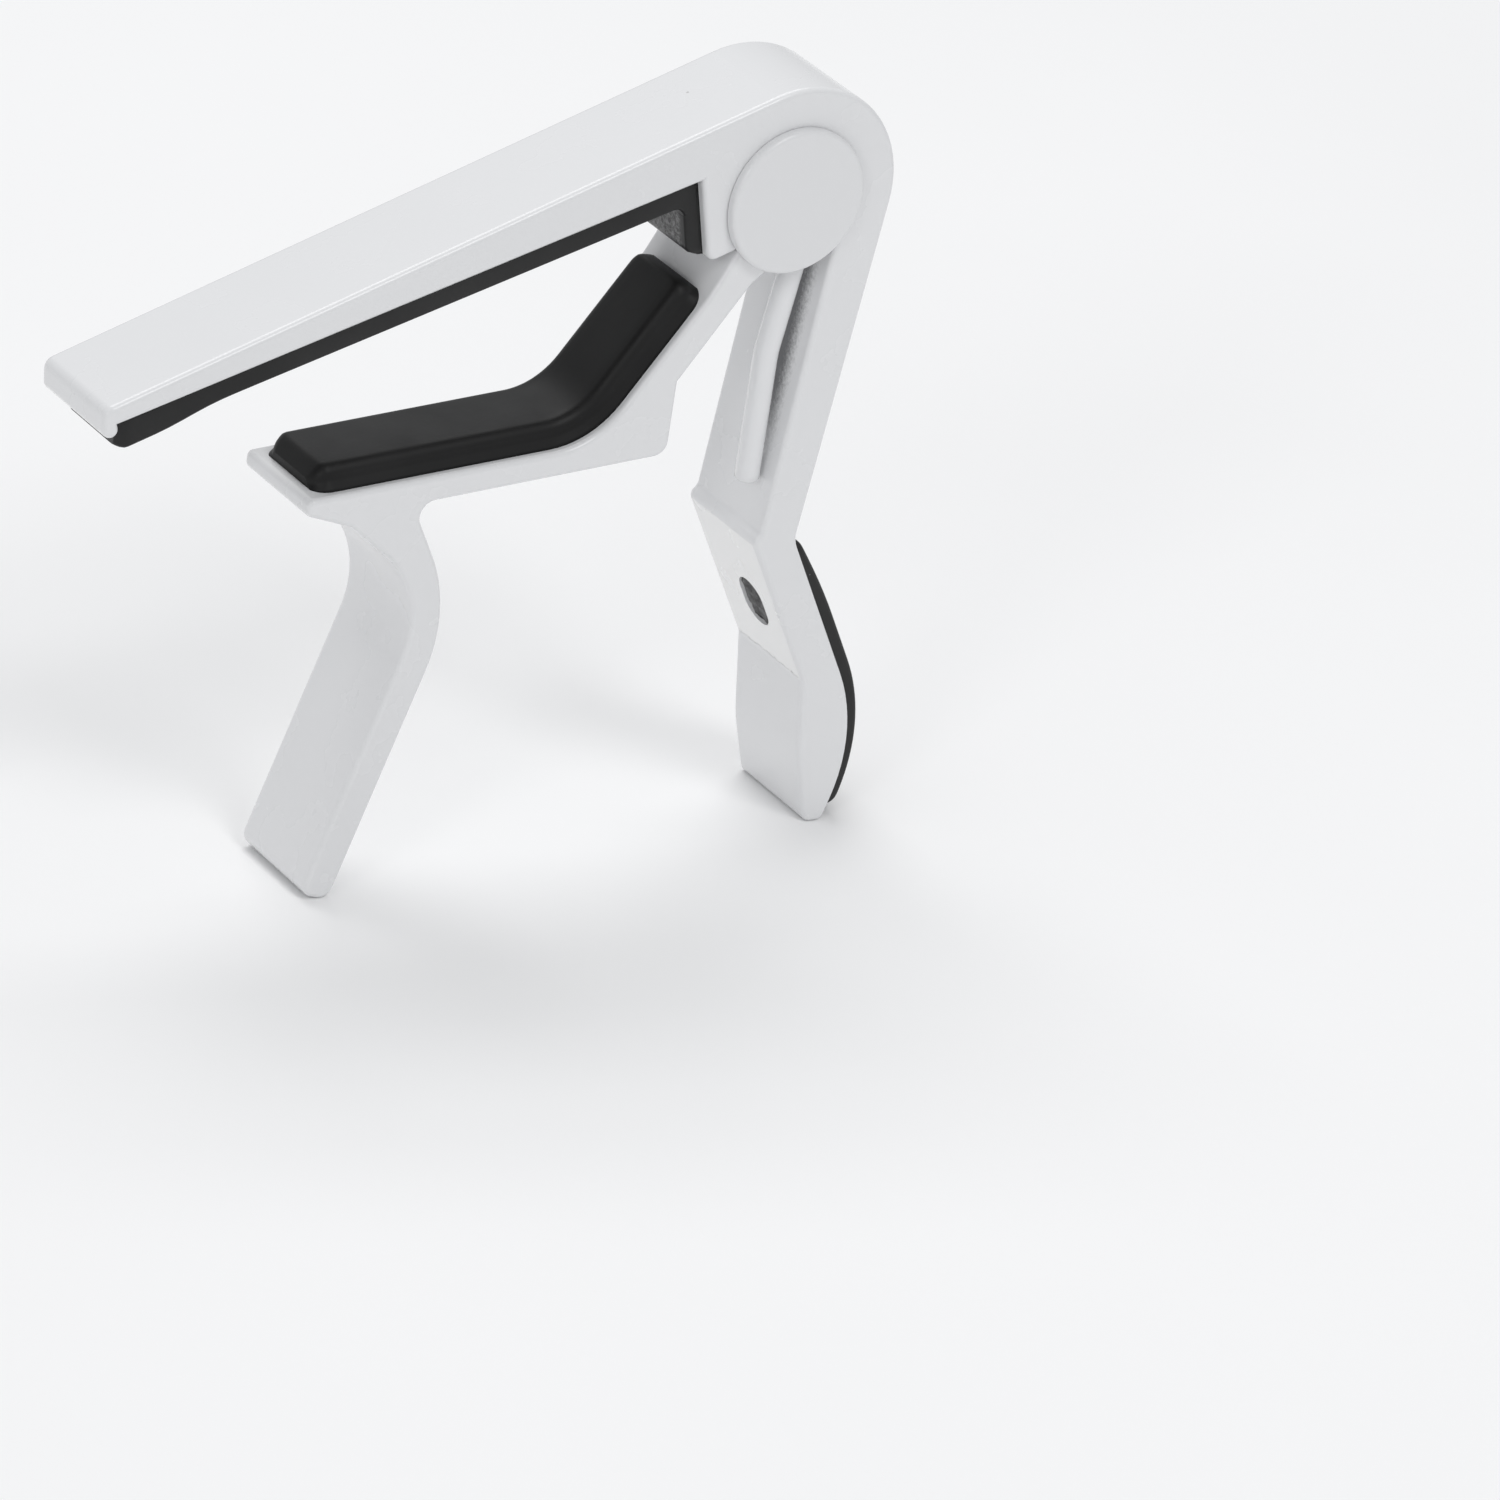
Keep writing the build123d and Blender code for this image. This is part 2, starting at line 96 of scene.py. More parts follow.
# ---- cradle pad ----
ARM_KNEE = (-8.3 * MM, -10.25 * MM)
ARM_SLOPE = 53.2
SEAT_SLOPE = 3.8
SEAT_HEIGHT = -23.5 * MM
SEAT_BEND = 10.5 * MM
SEAT_PAD_TOP_X = -8.1 * MM
SEAT_PAD_FRONT_X = -50.6 * MM
SEAT_PAD_THICKNESS = 2.5 * MM
SEAT_PAD_FRONT_HEIGHT = 0.9 * MM
SEAT_PAD_FRONT_ROUND = 1.7 * MM
SEAT_PAD_BACK_HEIGHT = 1.5 * MM
SEAT_PAD_BACK_ROUND = 1.0 * MM
SEAT_PAD_SINK = 0.12 * MM        # the upper end beds into the arm
SEAT_PAD_SINK_REACH = 3.0 * MM
SEAT_PAD_CORNER = 2.1 * MM
SEAT_PAD_LEAN = 0.7 * MM
SEAT_PAD_EDGE = 1.35 * MM
SEAT_PAD_STEP = 2.0 * MM
SEAT_PAD_FINE = (2.6 * MM, 12)   # length of each end with closer stations, and their number

# ---- grip ----
ELBOW_Z = -38.6 * MM
HANDLE_LEAN = 7.7
HOOD_RADIUS = 11.75 * MM
HOOD_OFFSET = 0.4 * MM
GRIP_LEAN = 27.5
GRIP_KNEE_Z = -61.95 * MM
GRIP_KNEE_RADIUS = 19.0 * MM
GRIP_TIP_LEAN = 18.0
GRIP_START = 1.2 * MM
GRIP_END_Z = -71.2 * MM
GRIP_THICKNESS = 1.7 * MM
GRIP_START_THICKNESS = 0.9 * MM
GRIP_EASE = 11.0 * MM
GRIP_START_ROUND = 1.2 * MM
GRIP_START_SHARE = 0.3
GRIP_END_ROUND = 2.0 * MM
GRIP_END_SHARE = 0.25
GRIP_CORNER = 1.5 * MM
GRIP_LEAN_IN = 0.15 * MM
GRIP_EDGE = 0.55 * MM
GRIP_CROWN = 0.1 * MM
GRIP_STEP = 1.5 * MM
GRIP_FINE = (2.0 * MM, 9)
EDGE_LIMIT = 0.6                 # most that a pad's rounded edge takes of its height

# ---- peg of the grip, seen in the facet's hole ----
PEG_CENTRE = (6.87 * MM, -47.92 * MM)
PEG_LEAN = 27.76
PEG_HALF_WIDTH = 2.1 * MM
PEG_HALF_LENGTH = 3.0 * MM
PEG_ASIDE = -1.0 * MM
PEG_RECESS = 0.35 * MM
PEG_DEPTH = 3.0 * MM
PEG_ROUGHNESS = 0.28 * MM        # depth of the cut end's bumps
PEG_GRAIN = 900.0
PEG_HIGHEST = 0.3 * MM
PEG_ROWS = 12
PEG_SIDES = 56

# ---- paint marks and the painted shadow of the spring's leg on the bar's casting ----
FACET_NORMAL = (-0.885, 0.0, -0.466)
FACET_END_Z = -54.9 * MM
FACET_RAGGED = 1.6 * MM
# painted shadow of the spring's leg: a dark strip painted on the rear handle's inner face
WIRE_SHADOW_RAGGED = 2.6 * MM
WIRE_SHADOW_NEAR = (-4.9 * MM, -2.4 * MM)       # where each side of the strip fades in, from none to full
WIRE_SHADOW_FAR = (1.4 * MM, -0.2 * MM)
WIRE_SHADOW_LOW = (-34.0 * MM, -22.0 * MM)
WIRE_SHADOW_TOP = (-4.0 * MM, -6.0 * MM)

# ---- spring ----
WIRE_RADIUS = 1.27 * MM
COIL_RADIUS = 4.6 * MM
COIL_PITCH = 2.62 * MM
COIL_NEAR_Y = -3.45 * MM
COIL_START = -9.2
COIL_END = 590.0
LEG_LENGTH = 17.6 * MM
LEG_BEND = 12.0 * MM
LEG_END = (1.75 * MM, -32.3 * MM)
COIL_OVERRUN = 20.0              # degrees that the coil runs on past the tang
TANG_RADIUS = 1.2 * MM
TANG_END_Y = 4.25 * MM
WIRE_SIDES = 28
WIRE_CHAMFER = 0.18              # of the wire's radius
TURN = 360.0
STEPS_PER_TURN = 36

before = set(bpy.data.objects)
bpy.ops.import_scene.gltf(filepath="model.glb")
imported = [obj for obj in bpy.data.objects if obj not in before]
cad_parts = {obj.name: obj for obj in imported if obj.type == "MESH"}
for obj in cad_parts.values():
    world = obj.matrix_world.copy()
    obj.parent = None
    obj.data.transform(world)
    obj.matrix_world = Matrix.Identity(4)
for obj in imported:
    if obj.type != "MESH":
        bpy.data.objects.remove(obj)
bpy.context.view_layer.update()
low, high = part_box("pivot_pin")
PIVOT_X = (low.x + high.x) / 2
PIVOT_Z = (low.z + high.z) / 2
low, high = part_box("bar_frame")
NEAR_Y = low.y


def direction(degrees):
    return Vector((math.cos(math.radians(degrees)), math.sin(math.radians(degrees))))


def placed(point, y):
    """A profile point about the pivot, as a place in the part's frame."""
    return Vector((point[0] + PIVOT_X, y, point[1] + PIVOT_Z))


def meet(point_a, angle_a, point_b, angle_b):
    """Where two lines of the profile cross."""
    a = direction(angle_a)
    b = direction(angle_b)
    gap = point_b - point_a
    reach = (gap.x * b.y - gap.y * b.x) / (a.x * b.y - a.y * b.x)
    return point_a + a * reach


def rotated(vector, angle):
    return Vector((vector.x * math.cos(angle) - vector.y * math.sin(angle),
                   vector.x * math.sin(angle) + vector.y * math.cos(angle)))


def slope(degrees):
    return math.tan(math.radians(degrees))


def stitch(bm, rings):
    """Joins each ring of vertices to the next with four-sided faces."""
    for ring, following in zip(rings, rings[1:]):
        for index, vertex in enumerate(ring):
            after = (index + 1) % len(ring)
            bm.faces.new((vertex, ring[after], following[after], following[index]))


def half_depth(node_name):
    """Half of a CAD node's depth along Y."""
    low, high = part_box(node_name)
    return (high.y - low.y) / 2


def shape(name, bm, smooth=True):
    """Turns a bmesh into a shown object."""
    bmesh.ops.recalc_face_normals(bm, faces=bm.faces)
    mesh = bpy.data.meshes.new(name)
    bm.to_mesh(mesh)
    bm.free()
    for polygon in mesh.polygons:
        polygon.use_smooth = smooth
    obj = bpy.data.objects.new(name, mesh)
    bpy.context.scene.collection.objects.link(obj)
    return obj


# ---- materials ----

def new_material(name):
    material = bpy.data.materials.new(name)
    material.use_nodes = True
    nodes = material.node_tree.nodes
    nodes.clear()
    output = nodes.new("ShaderNodeOutputMaterial")
    shader = nodes.new("ShaderNodeBsdfPrincipled")
    material.node_tree.links.new(shader.outputs["BSDF"], output.inputs["Surface"])
    return material, shader


def link(material, output, socket):
    material.node_tree.links.new(output, socket)


def plug(material, value, socket):
    """Joins an output to a socket, or sets the socket to a plain value."""
    if isinstance(value, bpy.types.NodeSocket):
        link(material, value, socket)
    else:
        socket.default_value = value


def node(material, kind, values=(), **inputs):
    """Adds a node, sets its properties from values and its sockets from inputs (values or outputs)."""
    made = material.node_tree.nodes.new(kind)
    for key, value in values:
        setattr(made, key, value)
    for key, value in inputs.items():
        plug(material, value, made.inputs[key.replace("_", " ")])
    return made


def calc(material, operation, first, second=0.0):
    made = node(material, "ShaderNodeMath", [("operation", operation)])
    plug(material, first, made.inputs[0])
    plug(material, second, made.inputs[1])
    return made.outputs[0]


def product(material, first, *others):
    for other in others:
        first = calc(material, "MULTIPLY", first, other)
    return first


def surface(material, kind):
    """The surface's object-space "Normal", or its "Object" place, as one vector output."""
    return node(material, "ShaderNodeTexCoord").outputs[kind]


def surface_parts(material, kind):
    """The same as X, Y and Z outputs."""
    return node(material, "ShaderNodeSeparateXYZ", Vector=surface(material, kind)).outputs


def noise(material, scale, detail=4.0, roughness=0.5):
    made = node(material, "ShaderNodeTexNoise", Vector=surface(material, "Object"), Scale=scale,
                Detail=detail, Roughness=roughness)
    return made.outputs["Fac"]


def ramp(material, factor, stops):
    """A colour ramp; stops are (position, colour)."""
    made = node(material, "ShaderNodeValToRGB", Fac=factor)
    elements = made.color_ramp.elements
    while len(elements) < len(stops):
        elements.new(0.5)
    for element, (position, colour) in zip(elements, stops):
        element.position = position
        element.color = (*colour, 1.0)
    return made.outputs["Color"]


def grey(value):
    return (value, value, value)


def spread(material, factor, low, high):
    """A grey that runs from low to high over nearly the whole range of the factor."""
    return ramp(material, factor, [(0.1, grey(low)), (0.9, grey(high))])


def specks(material, scale, share, size):
    """1 inside sparse round specks, else 0.  Only cells whose random value is under the share hold one."""
    cells = node(material, "ShaderNodeTexVoronoi", Vector=surface(material, "Object"), Scale=scale)
    near = calc(material, "LESS_THAN", cells.outputs["Distance"], size)
    split = node(material, "ShaderNodeSeparateColor", Color=cells.outputs["Color"])
    chosen = calc(material, "LESS_THAN", split.outputs["Red"], share)
    return product(material, near, chosen)


def mix(material, factor, first, second):
    """A blend of two colours, each a colour output or three numbers."""
    made = node(material, "ShaderNodeMix", [("data_type", "RGBA")])
    link(material, factor, made.inputs[0])
    for socket, value in ((made.inputs[6], first), (made.inputs[7], second)):
        if not isinstance(value, bpy.types.NodeSocket):
            value = (*value, 1.0)
        plug(material, value, socket)
    return made.outputs[2]


def bumps(material, layers):
    """Stacked bump nodes; layers are (height output, strength, distance)."""
    normal = None
    for height, strength, distance in layers:
        made = node(material, "ShaderNodeBump", Height=height, Strength=strength, Distance=distance)
        if normal is not None:
            link(material, normal, made.inputs["Normal"])
        normal = made.outputs["Normal"]
    return normal


def fade(material, value, start, end):
    """0 at start and 1 at end, with a smooth change between them."""
    made = node(material, "ShaderNodeMapRange", [("interpolation_type", "SMOOTHSTEP")], Value=value)
    made.inputs["From Min"].default_value = start
    made.inputs["From Max"].default_value = end
    return made.outputs["Result"]


def facet_mask(material):
    """1 on the masked patch of the rear handle's facet, whose lower edge is ragged."""
    facing = node(material, "ShaderNodeVectorMath", [("operation", "DOT_PRODUCT")])
    link(material, surface(material, "Normal"), facing.inputs[0])
    facing.inputs[1].default_value = FACET_NORMAL
    flat = calc(material, "GREATER_THAN", facing.outputs["Value"], 0.99)
    ragged = product(material, noise(material, 1400.0, 5.0, 0.7), FACET_RAGGED)
    height = calc(material, "SUBTRACT", surface_parts(material, "Object")["Z"], ragged)
    end = PIVOT_Z + FACET_END_Z
    above = fade(material, height, end - 0.85 * MM, end - 0.7 * MM)
    return product(material, flat, above)


def painted_wire_shadow_mask(material):
    """1 on the painted shadow of the spring's leg: a dark, speckled strip on the rear handle's inner face,
    behind the leg.
    """
    point = surface_parts(material, "Object")
    inward = calc(material, "LESS_THAN", surface_parts(material, "Normal")["X"], -0.9)
    rear = calc(material, "GREATER_THAN", point["X"], PIVOT_X)
    drop = calc(material, "SUBTRACT", point["Z"], PIVOT_Z)
    grain = calc(material, "SUBTRACT", noise(material, 2600.0, 6.0, 0.75), 0.5)
    across = calc(material, "ADD", point["Y"], product(material, grain, WIRE_SHADOW_RAGGED))
    near = fade(material, across, *WIRE_SHADOW_NEAR)
    far = fade(material, across, *WIRE_SHADOW_FAR)
    low_end = fade(material, drop, *WIRE_SHADOW_LOW)
    top_end = fade(material, drop, *WIRE_SHADOW_TOP)
    return product(material, near, far, low_end, top_end, inward, rear)


def white_paint(name, light=0.80, dark=0.765, tint=(0.985, 0.99, 1.0), roughness=(0.25, 0.29),
                with_marks_and_shadow=False):
    """Sprayed gloss paint: faint clouding, orange peel, a few dust grains under the coat."""
    material, shader = new_material(name)
    cloud = noise(material, 40.0, 2.0)
    pale = tuple(light * part for part in tint)
    deep = tuple(dark * part for part in tint)
    colour = ramp(material, cloud, [(0.1, deep), (0.9, pale)])
    grains = specks(material, 520.0, 0.02, 0.09)
    colour = mix(material, grains, colour, grey(0.55))
    layers = []
    # a paler facet patch, and the painted shadow of the spring's leg on the rear handle's inner face
    if with_marks_and_shadow:
        wire_shadow = painted_wire_shadow_mask(material)
        facet = facet_mask(material)
        colour = mix(material, facet, colour, (0.87, 0.87, 0.865))
        # painted shadow: the strip behind the spring's leg is mixed to near black
        colour = mix(material, product(material, wire_shadow, 0.93), colour, (0.035, 0.037, 0.045))
        layers = [(facet, 0.8, 0.12 * MM), (wire_shadow, 0.3, 0.1 * MM)]
    link(material, colour, shader.inputs["Base Color"])
    gloss = spread(material, noise(material, 140.0, 4.0), *roughness)
    link(material, gloss, shader.inputs["Roughness"])
    peel = noise(material, 900.0, 2.0)
    waves = noise(material, 160.0, 2.0)
    layers += [(waves, 0.04, 0.2 * MM), (peel, 0.04, 0.05 * MM), (grains, 0.3, 0.04 * MM)]
    link(material, bumps(material, layers), shader.inputs["Normal"])
    shader.inputs["Coat Weight"].default_value = 0.3
    shader.inputs["Coat Roughness"].default_value = 0.16
    return material


def black_rubber(name, base=0.005, worn=0.010, roughness=(0.40, 0.54), dust=0.02):
    """Moulded rubber: satin skin, fine grain, a little pale dust."""
    material, shader = new_material(name)
    cloud = noise(material, 90.0, 5.0)
    colour = ramp(material, cloud, [(0.35, grey(base)), (0.7, grey(worn))])
    grains = specks(material, 700.0, dust, 0.10)
    link(material, mix(material, grains, colour, (0.16, 0.16, 0.165)), shader.inputs["Base Color"])
    gloss = spread(material, noise(material, 260.0, 4.0), *roughness)
    link(material, gloss, shader.inputs["Roughness"])
    fine = noise(material, 3200.0, 3.0, 0.6)
    coarse = noise(material, 420.0, 3.0)
    layers = [(coarse, 0.12, 0.12 * MM), (fine, 0.22, 0.03 * MM), (grains, 0.4, 0.05 * MM)]
    link(material, bumps(material, layers), shader.inputs["Normal"])
    shader.inputs["Specular IOR Level"].default_value = 0.28
    return material


def torn_rubber(name):
    """The peg's cut end: grey, coarse and uneven."""
    material, shader = new_material(name)
    coarse = noise(material, 900.0, 6.0, 0.65)
    colour = ramp(material, coarse, [(0.35, grey(0.03)), (0.62, grey(0.16))])
    link(material, colour, shader.inputs["Base Color"])
    shader.inputs["Roughness"].default_value = 0.8
    link(material, bumps(material, [(coarse, 0.9, 0.5 * MM)]), shader.inputs["Normal"])
    return material


def pad_rubber(name):
    """The bar pad's rubber, whose hook has a coarse, paler patch on its inner face."""
    material = black_rubber(name, base=0.010, worn=0.018, roughness=(0.3, 0.42), dust=0.004)
    shader = next(item for item in material.node_tree.nodes if item.type == "BSDF_PRINCIPLED")
    point = surface_parts(material, "Object")
    inward = calc(material, "LESS_THAN", surface_parts(material, "Normal")["X"], -0.85)
    beside = fade(material, point["Y"], -4.4 * MM, -3.6 * MM)
    close = fade(material, point["X"], PIVOT_X - 14.5 * MM, PIVOT_X - 13.2 * MM)
    patch = product(material, inward, beside, close)
    coarse = noise(material, 2300.0, 6.0, 0.75)
    pale = ramp(material, coarse, [(0.42, grey(0.015)), (0.62, grey(0.22))])
    colour = shader.inputs["Base Color"].links[0].from_socket
    link(material, mix(material, patch, colour, pale), shader.inputs["Base Color"])
    return material


def plain_plastic(name):
    material, shader = new_material(name)
    link(material, ramp(material, noise(material, 300.0), [(0.3, grey(0.5)), (0.7, grey(0.6))]),
         shader.inputs["Base Color"])
    shader.inputs["Roughness"].default_value = 0.5
    link(material, bumps(material, [(noise(material, 1500.0), 0.15, 0.05 * MM)]), shader.inputs["Normal"])
    return material


def paint_node(name, material):
    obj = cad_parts[name]
    obj.data.materials.clear()
    obj.data.materials.append(material)


# ---- pads ----

def section(half_width, height, lean, edge, crown):
    """A pad's cross-section as (y, height) from the near base edge over the top to the far one."""
    edge = min(edge, height * EDGE_LIMIT)
    side_rows = 4
    edge_steps = 6
    top_spans = 7
    points = []
    for index in range(side_rows):
        share = index / side_rows
        points.append((half_width - lean * share, (height - edge) * share))
    for index in range(edge_steps + 1):
        angle = math.radians(90.0 * index / edge_steps)
        across = half_width - lean - edge + edge * math.cos(angle)
        points.append((across, height - edge + edge * math.sin(angle)))
    flat = half_width - lean - edge
    near = [(-y, z) for y, z in points]
    middle = [(-flat * (1 - 2 * index / top_spans), height) for index in range(1, top_spans)]
    far = list(reversed(points))
    outline = near + middle + far
    return [(y, z + crown * max(0.0, 1 - (y / half_width) ** 2) * (z / height)) for y, z in outline]


def loft(name, stations, lean, edge, crown=0.0):
    """A pad over stations given as (base point, top point, half width): both points in the profile."""
    bm = bmesh.new()
    rings = []
    for base, top, half_width in stations:
        height = (top - base).length
        way = (top - base) / height
        ring = []
        for y, rise in section(half_width, height, min(lean, height), edge, crown):
            point = base + way * rise
            ring.append(bm.verts.new(placed(point, y)))
        rings.append(ring)
    stitch(bm, rings)
    bm.faces.new(rings[0])
    bm.faces.new(reversed(rings[-1]))
    return shape(name, bm)


def bent_line(start, corner, end, radius, step):
    """Points and left-hand normals along start, a rounded corner, and end."""
    come = (corner - start).normalized()
    leave = (end - corner).normalized()
    turn = math.acos(max(-1.0, min(1.0, come.dot(leave))))
    cut = radius * math.tan(turn / 2)
    side = 1.0 if come.x * leave.y - come.y * leave.x > 0 else -1.0
    begin = corner - come * cut
    centre = begin + Vector((-come.y, come.x)) * radius * side
    line = []
    length = (begin - start).length
    count = max(2, round(length / step))
    for index in range(count):
        line.append((start + come * length * index / count, Vector((-come.y, come.x))))
    arcs = 18
    for index in range(arcs + 1):
        angle = side * turn * index / arcs
        turned = rotated(begin - centre, angle)
        line.append((centre + turned, turned.normalized() * -side))
    last = corner + leave * cut
    length = (end - last).length
    count = max(2, round(length / step))
    for index in range(1, count + 1):
        line.append((last + leave * length * index / count, Vector((-leave.y, leave.x))))
    return line


def distances(points):
    run = [0.0]
    for a, b in zip(points, points[1:]):
        run.append(run[-1] + (b - a).length)
    return run


def refine_ends(line, reach, count):
    """Adds stations close to both ends of a line, where the pad rounds off."""
    first, second = line[0], line[1]
    last, before = line[-1], line[-2]
    step = (second[0] - first[0]).normalized()
    back = (before[0] - last[0]).normalized()
    start = [(first[0] + step * reach * (index / count) ** 2, first[1]) for index in range(count + 1)]
    end = [(last[0] + back * reach * (index / count) ** 2, last[1]) for index in range(count, -1, -1)]
    clear = reach * 1.05
    inner = [item for item in line
             if (item[0] - first[0]).length > clear and (item[0] - last[0]).length > clear]
    return start + inner + end


def rounded_width(half_width, corner, distance):
    """Half width near an end whose plan corners have the given radius."""
    inside = max(0.0, corner - distance)
    return half_width - corner + math.sqrt(max(0.0, corner * corner - inside * inside))


def eased(share):
    """0 to 1 with a quick start and a level end."""
    share = max(0.0, min(1.0, share))
    return math.sin(share * math.pi / 2)


def rounded_height(start_share, distance, reach):
    """Height near an end as a share of the full height, from start_share at the end itself."""
    return start_share + (1 - start_share) * eased(distance / reach)


def finish_pad(pad, node_name, body):
    """Says which body the pad rides and which CAD node it replaces."""
    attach(pad, body)
    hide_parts(node_name)
    return pad


def cradle_pad():
    seat = Vector((0.0, SEAT_HEIGHT))
    knee = Vector(ARM_KNEE)
    corner = meet(knee, ARM_SLOPE, seat, SEAT_SLOPE)
    front = Vector((SEAT_PAD_FRONT_X, SEAT_HEIGHT + slope(SEAT_SLOPE) * SEAT_PAD_FRONT_X))
    top = meet(knee, ARM_SLOPE, Vector((SEAT_PAD_TOP_X, 0.0)), 90.0)
    line = refine_ends(bent_line(front, corner, top, SEAT_BEND, SEAT_PAD_STEP), *SEAT_PAD_FINE)
    run = distances([item[0] for item in line])
    half_width = half_depth("cradle_pad")
    front_share = SEAT_PAD_FRONT_HEIGHT / SEAT_PAD_THICKNESS
    back_share = SEAT_PAD_BACK_HEIGHT / SEAT_PAD_THICKNESS
    stations = []
    for (point, normal), along in zip(line, run):
        left_over = run[-1] - along
        share = min(rounded_height(front_share, along, SEAT_PAD_FRONT_ROUND),
                    rounded_height(back_share, left_over, SEAT_PAD_BACK_ROUND))
        width = rounded_width(half_width, SEAT_PAD_CORNER, min(along, left_over) + 0.15 * MM)
        sink = SEAT_PAD_SINK * max(0.0, 1 - left_over / SEAT_PAD_SINK_REACH)
        stations.append((point - normal * sink, point + normal * SEAT_PAD_THICKNESS * share, width))
    pad = loft("cradle_pad_rubber", stations, SEAT_PAD_LEAN, SEAT_PAD_EDGE)
    return finish_pad(pad, "cradle_pad", "cradle")


def under(x):
    """The point of the bar's under face at this x."""
    return Vector((x, UNDER_HEIGHT + slope(UNDER_SLOPE) * x))


def strip_stations(start, along, down, reach, half_width):
    """The bar pad's strip, from its free end to where the hook's corner begins."""
    marks = list(STRIP_MARKS)
    while (marks[-1] + STRIP_STEP) * MM < reach:
        marks.append(marks[-1] + STRIP_STEP)
    stations = []
    for mark in marks:
        mark = mark * MM
        dip = BAR_PAD_DIP * (1 - eased(mark / BAR_PAD_DIP_LENGTH))
        swell = BAR_PAD_SWELL * math.exp(-((mark - BAR_PAD_SWELL_AT) / BAR_PAD_SWELL_REACH) ** 2)
        height = BAR_PAD_THICKNESS + dip + swell
        height *= rounded_height(BAR_PAD_END_SHARE, mark, BAR_PAD_END_ROUND)
        base = start + along * mark
        overhang = -along * BAR_PAD_OVERHANG * max(0.0, 1 - mark / BAR_PAD_OVERHANG_REACH)
        width = rounded_width(half_width, BAR_PAD_CORNER, mark + 0.1 * MM)
        stations.append((base, base + down * height + overhang, width))
    return stations


def bar_pad():
    start = under(BAR_PAD_START)
    corner = under(TOOTH_TOP_X)
    tooth = (Vector(TOOTH_TIP) - corner).normalized()
    along = (corner - start).normalized()
    down = Vector((along.y, -along.x))
    left = Vector((tooth.y, -tooth.x))
    half_width = half_depth("bar_pad")
    face = start + down * BAR_PAD_THICKNESS
    hook_face = corner + left * HOOK_THICKNESS
    tooth_angle = math.degrees(math.atan2(tooth.y, tooth.x))
    length = (meet(face, UNDER_SLOPE, hook_face, tooth_angle) - face).dot(along)
    stations = strip_stations(start, along, down, length - HOOK_CORNER, half_width)
    turn = math.acos(along.dot(tooth))
    centre = face + along * (length - HOOK_CORNER * math.tan(turn / 2)) + down * HOOK_CORNER
    steps = 8
    for index in range(steps + 1):
        share = index / steps
        slide = (share - 0.5) * HOOK_CORNER_SLIDE
        base = corner + (along * slide if slide < 0 else tooth * slide)
        stations.append((base, centre + rotated(-down * HOOK_CORNER, -turn * share), half_width))
    hook_length = (HOOK_END_Z - corner.y) / tooth.y
    steps = 10
    for index in range(steps + 1):
        mark = HOOK_FIRST + (hook_length - HOOK_FIRST) * index / steps
        height = HOOK_THICKNESS * rounded_height(HOOK_END_SHARE, hook_length - mark, HOOK_END_ROUND)
        base = corner + tooth * mark
        stations.append((base, base + left * height, half_width))
    pad = loft("bar_pad_rubber", stations, BAR_PAD_LEAN, BAR_PAD_EDGE)
    return finish_pad(pad, "bar_pad", "bar")


def grip():
    hood = Vector((HOOD_OFFSET, 0.0)) + direction(-HANDLE_LEAN) * HOOD_RADIUS
    elbow = hood - Vector((slope(HANDLE_LEAN), 1.0)) * (hood.y - ELBOW_Z)
    knee = Vector((elbow.x + slope(GRIP_LEAN) * (ELBOW_Z - GRIP_KNEE_Z), GRIP_KNEE_Z))
    start = elbow + direction(GRIP_LEAN - 90.0) * GRIP_START
    end = meet(knee, -90.0 - GRIP_TIP_LEAN, Vector((0.0, GRIP_END_Z)), 0.0)
    line = refine_ends(bent_line(start, knee, end, GRIP_KNEE_RADIUS, GRIP_STEP), *GRIP_FINE)
    run = distances([item[0] for item in line])
    half_width = half_depth("handle_pad")
    stations = []
    for (point, normal), along in zip(line, run):
        left_over = run[-1] - along
        height = GRIP_START_THICKNESS + (GRIP_THICKNESS - GRIP_START_THICKNESS) * eased(along / GRIP_EASE)
        height *= rounded_height(GRIP_START_SHARE, along + 0.3 * MM, GRIP_START_ROUND)
        height *= rounded_height(GRIP_END_SHARE, left_over, GRIP_END_ROUND)
        width = rounded_width(half_width, GRIP_CORNER, min(along, left_over) + 0.1 * MM)
        stations.append((point, point + normal * height, width))
    pad = loft("grip_rubber", stations, GRIP_LEAN_IN, GRIP_EDGE, GRIP_CROWN)
    return finish_pad(pad, "handle_pad", "bar")


def peg():
    """The grip's peg, an oblong post whose cut end is uneven."""
    bm = bmesh.new()
    lean = math.radians(PEG_LEAN)
    along = Vector((math.sin(lean), -math.cos(lean)))
    out = Vector((-math.cos(lean), -math.sin(lean)))
    centre = Vector(PEG_CENTRE) - out * PEG_RECESS
    rings = []
    for row in range(PEG_ROWS + 2):
        share = min(1.0, row / PEG_ROWS)
        ring = []
        for side in range(PEG_SIDES):
            angle = 2 * math.pi * side / PEG_SIDES
            straight = (PEG_HALF_LENGTH - PEG_HALF_WIDTH) * (1 if math.cos(angle) >= 0 else -1)
            length = (straight + PEG_HALF_WIDTH * math.cos(angle)) * share
            width = PEG_HALF_WIDTH * math.sin(angle) * share
            point = centre + along * length
            spot = Vector((point.x, width, point.y))
            rough = mathutils_noise.fractal(spot * PEG_GRAIN, 1.0, 2.0, 4) * PEG_ROUGHNESS
            rise = -PEG_DEPTH if row > PEG_ROWS else min(PEG_HIGHEST, rough)
            ring.append(bm.verts.new(placed(point + out * rise, PEG_ASIDE + width)))
        rings.append(ring)
    stitch(bm, rings)
    bm.faces.new(reversed(rings[-1]))
    bmesh.ops.remove_doubles(bm, verts=bm.verts, dist=0.001 * MM)
    post = shape("grip_peg", bm)
    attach(post, "bar")
    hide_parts("handle_pad")
    return post


# ---- spring ----

